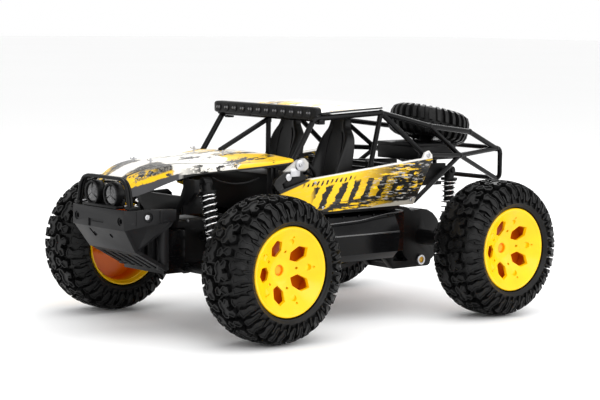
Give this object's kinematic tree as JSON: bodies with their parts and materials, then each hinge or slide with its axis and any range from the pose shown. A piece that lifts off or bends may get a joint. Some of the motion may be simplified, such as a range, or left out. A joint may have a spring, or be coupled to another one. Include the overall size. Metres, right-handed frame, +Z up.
{
  "type": "rc buggy",
  "caption": "Radio-controlled desert buggy with a tube cage, sprung front wishbones, steering, a swinging driven rear axle and a spare wheel.",
  "frame": {"origin": "centre of the bounding box at ground level, under the tyres", "axes": "+X forwards, +Y to the left, +Z up"},
  "size_m": [0.3902, 0.258, 0.172],
  "materials": {
    "tyre": "moulded rubber, dull on the lugs and slightly shinier in the grooves",
    "rim_yellow": "glossy moulded yellow plastic",
    "cage_black": "glossy black moulded tube",
    "tub_black": "glossy black moulded plastic",
    "body_panel": "printed panel: off-white, yellow and black worn paint under a clear film",
    "bumper_grey": "fine-grained charcoal plastic",
    "spring_chrome": "bright plated wire",
    "steel": "machined steel",
    "seat_black": "satin black moulded plastic with a fine grain",
    "lamp_dark": "dark glossy lamp case",
    "battery_wrap": "shrink wrap",
    "circuit_board": "solder mask",
    "plastic_black": "satin black moulded nylon",
    "lens_clear": "clear moulded lens",
    "screw_steel": "plated screw"
  },
  "bodies": {
    "root": {"chassis_tub": "tub_black", "battery_pack": "battery_wrap", "receiver_board": "circuit_board", "steering_servo": "plastic_black", "cockpit_tray": "plastic_black", "steering_wheel": "plastic_black", "front_bumper": "bumper_grey", "lamp_guard": "plastic_black", "headlamps": "lamp_dark", "hood": "body_panel", "roof_panel": "body_panel", "light_bar": "plastic_black", "windscreen_brace": "cage_black", "rear_frame": "cage_black", "spare_tyre": "tyre", "spare_hub": "plastic_black", "front_tower": "plastic_black", "rear_tower": "plastic_black", "seat_left": "seat_black", "seat_right": "seat_black", "side_panel_left": "body_panel", "side_panel_right": "body_panel", "cage_left": "cage_black", "cage_right": "cage_black"},
    "switch": {"power_switch": "plastic_black"},
    "rack": {"steering_rack": "plastic_black"},
    "rear_swing": {"axle_housing": "plastic_black", "motor": "steel"},
    "pinion": {"motor_pinion": "steel"},
    "rear_axle": {"rear_axle": "steel", "rim_rear_left": "rim_yellow", "tyre_rear_left": "tyre", "rim_rear_right": "rim_yellow", "tyre_rear_right": "tyre"},
    "lower_arm_left": {"lower_arm_left": "plastic_black"},
    "upper_arm_left": {"upper_arm_left": "plastic_black"},
    "hub_carrier_left": {"hub_carrier_left": "plastic_black"},
    "knuckle_left": {"knuckle_left": "plastic_black"},
    "front_wheel_left": {"rim_front_left": "rim_yellow", "tyre_front_left": "tyre"},
    "tie_rod_left": {"tie_rod_left": "plastic_black"},
    "shock_front_left": {"shock_body_front_left": "plastic_black", "shock_spring_front_left": "spring_chrome"},
    "shock_rod_front_left": {"shock_rod_part_front_left": "plastic_black"},
    "shock_rear_left": {"shock_body_rear_left": "plastic_black", "shock_spring_rear_left": "spring_chrome"},
    "shock_rod_rear_left": {"shock_rod_part_rear_left": "plastic_black"},
    "lower_arm_right": {"lower_arm_right": "plastic_black"},
    "upper_arm_right": {"upper_arm_right": "plastic_black"},
    "hub_carrier_right": {"hub_carrier_right": "plastic_black"},
    "knuckle_right": {"knuckle_right": "plastic_black"},
    "front_wheel_right": {"rim_front_right": "rim_yellow", "tyre_front_right": "tyre"},
    "tie_rod_right": {"tie_rod_right": "plastic_black"},
    "shock_front_right": {"shock_body_front_right": "plastic_black", "shock_spring_front_right": "spring_chrome"},
    "shock_rod_front_right": {"shock_rod_part_front_right": "plastic_black"},
    "shock_rear_right": {"shock_body_rear_right": "plastic_black", "shock_spring_rear_right": "spring_chrome"},
    "shock_rod_rear_right": {"shock_rod_part_rear_right": "plastic_black"}
  },
  "joints": [
    {"name": "power_switch_slide", "type": "slide", "parent": "root", "child": "switch", "axis": [1, 0, 0], "range_m": [0, 0.0045]},
    {"name": "front_left_arm_swing", "type": "hinge", "parent": "root", "child": "lower_arm_left", "pos_m": [0.11215, 0.022, 0.048], "axis": [1, 0, 0], "range_deg": [0, 10], "stiffness_Nm_per_rad": 2.2, "springref_deg": -5.73},
    {"name": "front_left_upper_swing", "type": "hinge", "parent": "root", "child": "upper_arm_left", "pos_m": [0.11215, 0.022, 0.072], "axis": [1, 0, 0], "range_deg": [0, 10]},
    {"name": "front_left_carrier_hinge", "type": "hinge", "parent": "lower_arm_left", "child": "hub_carrier_left", "pos_m": [0.11215, 0.079, 0.048], "axis": [1, 0, 0], "range_deg": [-10, 0]},
    {"name": "front_left_steer", "type": "hinge", "parent": "hub_carrier_left", "child": "knuckle_left", "pos_m": [0.11215, 0.088, 0.055], "axis": [0, 0, 1], "range_deg": [-22, 22]},
    {"name": "front_left_wheel_spin", "type": "hinge", "parent": "knuckle_left", "child": "front_wheel_left", "pos_m": [0.11215, 0.104, 0.055], "axis": [0, 1, 0], "continuous": true},
    {"name": "tie_rod_left_hinge", "type": "hinge", "parent": "rack", "child": "tie_rod_left", "pos_m": [0.09665, 0.018, 0.058], "axis": [1, 0, 0], "range_deg": [0, 8.3]},
    {"name": "shock_front_left_tilt", "type": "hinge", "parent": "root", "child": "shock_front_left", "pos_m": [0.12365, 0.038, 0.1145], "axis": [1, 0, 0], "range_deg": [-1, 0]},
    {"name": "shock_front_left_slide", "type": "slide", "parent": "shock_front_left", "child": "shock_rod_front_left", "axis": [0, -0.2309, 0.973], "range_m": [0, 0.0056], "deforming": ["shock_spring_front_left"]},
    {"name": "shock_rear_left_tilt", "type": "hinge", "parent": "root", "child": "shock_rear_left", "pos_m": [-0.13185, 0.04, 0.1125], "axis": [0, 1, 0], "range_deg": [-7, 0]},
    {"name": "shock_rear_left_slide", "type": "slide", "parent": "shock_rear_left", "child": "shock_rod_rear_left", "axis": [0, 0, 1], "range_m": [0, 0.0098], "deforming": ["shock_spring_rear_left"]},
    {"name": "front_right_arm_swing", "type": "hinge", "parent": "root", "child": "lower_arm_right", "pos_m": [0.11215, -0.022, 0.048], "axis": [-1, 0, 0], "range_deg": [0, 10], "stiffness_Nm_per_rad": 2.2, "springref_deg": -5.73},
    {"name": "front_right_upper_swing", "type": "hinge", "parent": "root", "child": "upper_arm_right", "pos_m": [0.11215, -0.022, 0.072], "axis": [-1, 0, 0], "range_deg": [0, 10]},
    {"name": "front_right_carrier_hinge", "type": "hinge", "parent": "lower_arm_right", "child": "hub_carrier_right", "pos_m": [0.11215, -0.079, 0.048], "axis": [-1, 0, 0], "range_deg": [-10, 0]},
    {"name": "front_right_steer", "type": "hinge", "parent": "hub_carrier_right", "child": "knuckle_right", "pos_m": [0.11215, -0.088, 0.055], "axis": [0, 0, 1], "range_deg": [-22, 22]},
    {"name": "front_right_wheel_spin", "type": "hinge", "parent": "knuckle_right", "child": "front_wheel_right", "pos_m": [0.11215, -0.104, 0.055], "axis": [0, 1, 0], "continuous": true},
    {"name": "tie_rod_right_hinge", "type": "hinge", "parent": "rack", "child": "tie_rod_right", "pos_m": [0.09665, -0.018, 0.058], "axis": [-1, 0, 0], "range_deg": [0, 8.3]},
    {"name": "shock_front_right_tilt", "type": "hinge", "parent": "root", "child": "shock_front_right", "pos_m": [0.12365, -0.038, 0.1145], "axis": [-1, 0, 0], "range_deg": [-1, 0]},
    {"name": "shock_front_right_slide", "type": "slide", "parent": "shock_front_right", "child": "shock_rod_front_right", "axis": [0, 0.2309, 0.973], "range_m": [0, 0.0056], "deforming": ["shock_spring_front_right"]},
    {"name": "shock_rear_right_tilt", "type": "hinge", "parent": "root", "child": "shock_rear_right", "pos_m": [-0.13185, -0.04, 0.1125], "axis": [0, 1, 0], "range_deg": [-7, 0]},
    {"name": "shock_rear_right_slide", "type": "slide", "parent": "shock_rear_right", "child": "shock_rod_rear_right", "axis": [0, 0, 1], "range_m": [0, 0.0098], "deforming": ["shock_spring_rear_right"]},
    {"name": "steering_rack_slide", "type": "slide", "parent": "root", "child": "rack", "axis": [0, 1, 0], "range_m": [-0.0066, 0.0066]},
    {"name": "rear_swing", "type": "hinge", "parent": "root", "child": "rear_swing", "pos_m": [-0.07485, 0, 0.048], "axis": [0, 1, 0], "range_deg": [0, 10], "stiffness_Nm_per_rad": 3.2, "springref_deg": -8.59},
    {"name": "rear_axle_spin", "type": "hinge", "parent": "rear_swing", "child": "rear_axle", "pos_m": [-0.12185, 0, 0.055], "axis": [0, 1, 0], "continuous": true},
    {"name": "pinion_spin", "type": "hinge", "parent": "rear_swing", "child": "pinion", "pos_m": [-0.10121, 0.0105, 0.06945], "axis": [0, 1, 0], "continuous": true}
  ],
  "couplings": [
    {"joint": "front_left_upper_swing", "follows": "front_left_arm_swing", "ratio": 1},
    {"joint": "front_left_carrier_hinge", "follows": "front_left_arm_swing", "ratio": -1},
    {"joint": "tie_rod_left_hinge", "follows": "front_left_arm_swing", "ratio": 0.8143},
    {"joint": "shock_front_left_tilt", "follows": "front_left_arm_swing", "ratio": -0.0554},
    {"joint": "shock_front_left_slide", "follows": "front_left_arm_swing", "m_per_rad": 0.03072},
    {"joint": "shock_rear_left_tilt", "follows": "rear_swing", "ratio": -0.5966},
    {"joint": "shock_rear_left_slide", "follows": "rear_swing", "m_per_rad": 0.05402},
    {"joint": "front_right_upper_swing", "follows": "front_right_arm_swing", "ratio": 1},
    {"joint": "front_right_carrier_hinge", "follows": "front_right_arm_swing", "ratio": -1},
    {"joint": "front_right_steer", "follows": "front_left_steer", "ratio": 1},
    {"joint": "tie_rod_right_hinge", "follows": "front_right_arm_swing", "ratio": 0.8143},
    {"joint": "shock_front_right_tilt", "follows": "front_right_arm_swing", "ratio": -0.0554},
    {"joint": "shock_front_right_slide", "follows": "front_right_arm_swing", "m_per_rad": 0.03072},
    {"joint": "shock_rear_right_tilt", "follows": "rear_swing", "ratio": -0.5966},
    {"joint": "shock_rear_right_slide", "follows": "rear_swing", "m_per_rad": 0.05402},
    {"joint": "steering_rack_slide", "follows": "front_left_steer", "m_per_rad": -0.0158},
    {"joint": "pinion_spin", "follows": "rear_axle_spin", "ratio": -3}
  ]
}
